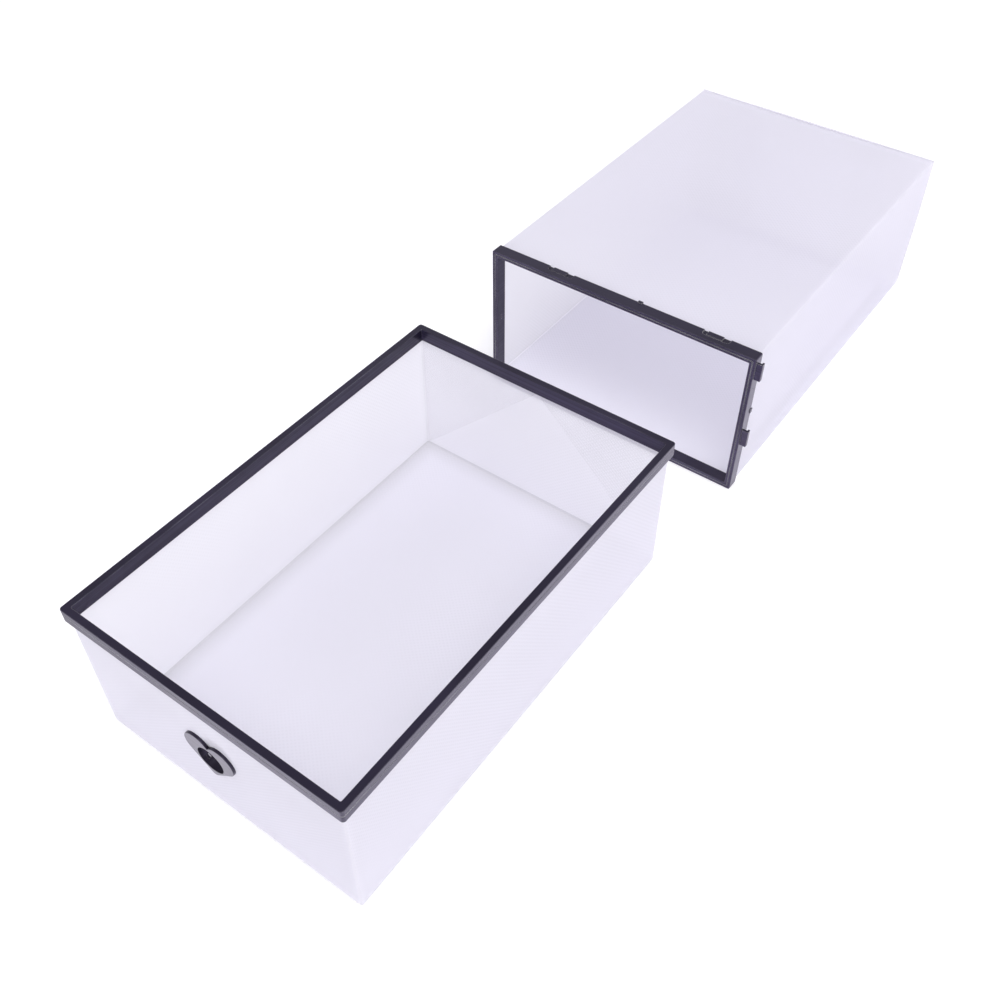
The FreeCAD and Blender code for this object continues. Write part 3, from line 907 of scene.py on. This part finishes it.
# --- stage, light and camera -------------------------------------------------------------------
def floor_material():
    """Pale floor, lit from above and from within, with an extra sheen for mirror-like rays."""
    material, tree = new_material("pale_floor")
    surface = add(tree, "ShaderNodeBsdfDiffuse", {"Color": FLOOR_COLOUR})
    coords = object_place(tree)
    away = add(tree, "ShaderNodeVectorMath", {0: coords}, operation="LENGTH").outputs["Value"]
    strength = ramp(tree, away, *FLOOR_GLOW, *FLOOR_GLOW_SPAN)
    glow = add(tree, "ShaderNodeEmission", {"Color": FLOOR_COLOUR, "Strength": strength})
    mirrored = add(tree, "ShaderNodeLightPath").outputs["Is Glossy Ray"]
    across = axis_of(tree, coords, "X")
    level = product(tree, mirrored, ramp(tree, across, *FLOOR_SHEEN, *FLOOR_SHEEN_SPAN))
    sheen = add(tree, "ShaderNodeEmission", {"Color": SHEEN_TINT, "Strength": level})
    lit = add(tree, "ShaderNodeAddShader", {0: glow.outputs[0], 1: sheen.outputs[0]})
    both = add(tree, "ShaderNodeAddShader", {0: surface.outputs[0], 1: lit.outputs[0]})
    to_output(tree, both.outputs[0])
    return material


def make_floor():
    bm = bmesh.new()
    bmesh.ops.create_grid(bm, x_segments=1, y_segments=1, size=FLOOR_HALF_SIZE)
    floor = new_object("floor", bm, floor_material())
    floor.location.z = cad_bounds[0][2] - FLOOR_DROP


def make_world():
    """A white studio, brightest near the horizon."""
    world = bpy.data.worlds.new("studio")
    bpy.context.scene.world = world
    world.use_nodes = True
    tree = world.node_tree
    coords = add(tree, "ShaderNodeTexCoord").outputs["Generated"]
    light = ramp(tree, axis_of(tree, coords, "Z"), *SKY_LEVEL, 0.0, SKY_LOW_ZONE)
    seen = add(tree, "ShaderNodeLightPath").outputs["Is Camera Ray"]
    strength = math_node(tree, "MAXIMUM", light, product(tree, seen, SKY_SEEN_LEVEL))
    background = tree.nodes["Background"]
    tree.links.new(strength, background.inputs["Strength"])
    background.inputs["Color"].default_value = SKY_COLOUR


def make_area_light(name, place, target, size, power):
    data = bpy.data.lights.new(name, "AREA")
    data.shape = "SQUARE"
    data.size = size
    data.energy = power
    light = bpy.data.objects.new(name, data)
    bpy.context.scene.collection.objects.link(light)
    light.location = place
    light.rotation_euler = (Vector(target) - Vector(place)).to_track_quat("-Z", "Y").to_euler()


def corners_of(low, high):
    return [Vector((x, y, z)) for x in (low[0], high[0]) for y in (low[1], high[1])
            for z in (low[2], high[2])]


def unit_boxes():
    """Corner points of the two units: the sleeve and the drawer."""
    bodies = frame["record"]["behaviour"]["bodies"]
    points = []
    for body in ("sleeve", "drawer"):
        boxes = [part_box(node) for node in bodies[body]]
        low = [min(box[0][i] for box in boxes) for i in range(3)]
        high = [max(box[1][i] for box in boxes) for i in range(3)]
        points += corners_of(low, high)
    return points


def make_camera():
    """Camera at the reference angle and lens, moved until both units just fit the picture."""
    back = Vector((math.sin(VIEW_AZIMUTH) * math.cos(VIEW_ELEVATION),
                   -math.cos(VIEW_AZIMUTH) * math.cos(VIEW_ELEVATION), math.sin(VIEW_ELEVATION)))
    right = Vector((math.cos(VIEW_AZIMUTH), math.sin(VIEW_AZIMUTH), 0))
    up = back.cross(right)
    focal = LENS_MM / SENSOR_MM
    points = unit_boxes()
    aim = sum(points, Vector()) / len(points)
    distance = 1.0
    for _ in range(FIT_ROUNDS):
        eye = aim + back * distance
        across = [(p - eye).dot(right) / (eye - p).dot(back) * focal for p in points]
        rise = [(p - eye).dot(up) / (eye - p).dot(back) * focal for p in points]
        aim += right * (max(across) + min(across)) / 2 * distance / focal
        aim += up * (max(rise) + min(rise)) / 2 * distance / focal
        extent = max(max(across) - min(across), max(rise) - min(rise))
        distance *= 1 + FIT_STEP * (extent / (1 - 2 * VIEW_MARGIN) - 1)
    data = bpy.data.cameras.new("camera")
    data.lens = LENS_MM
    data.sensor_width = SENSOR_MM
    data.clip_start = NEAREST_SEEN
    camera = bpy.data.objects.new("camera", data)
    bpy.context.scene.collection.objects.link(camera)
    camera.matrix_world = Matrix.Translation(aim + back * distance) @ \
        Matrix((right, up, back)).transposed().to_4x4()
    bpy.context.scene.camera = camera


sheet = sheet_material("frosted_sheet", SHEET_OPEN_SHARE, 1.0)
second_layer = sheet_material("frosted_second_layer", LAYER_OPEN_SHARE, 0.0, tint=NO_TINT)
tray_wall = sheet_material("frosted_tray_wall", SHEET_OPEN_SHARE, 1.0, wall_painted_light)
tray_floor = sheet_material("frosted_tray_floor", SHEET_OPEN_SHARE, 1.0, floor_painted_shade)

finish_mouldings()
make_sleeve_sheet(sheet, second_layer)
make_back_flap(sheet)
make_drawer_tray(tray_wall, second_layer, tray_floor)

make_floor()
make_world()
for light in AREA_LIGHTS:
    make_area_light(*light)
make_camera()
bpy.context.scene.view_settings.view_transform = "Standard"
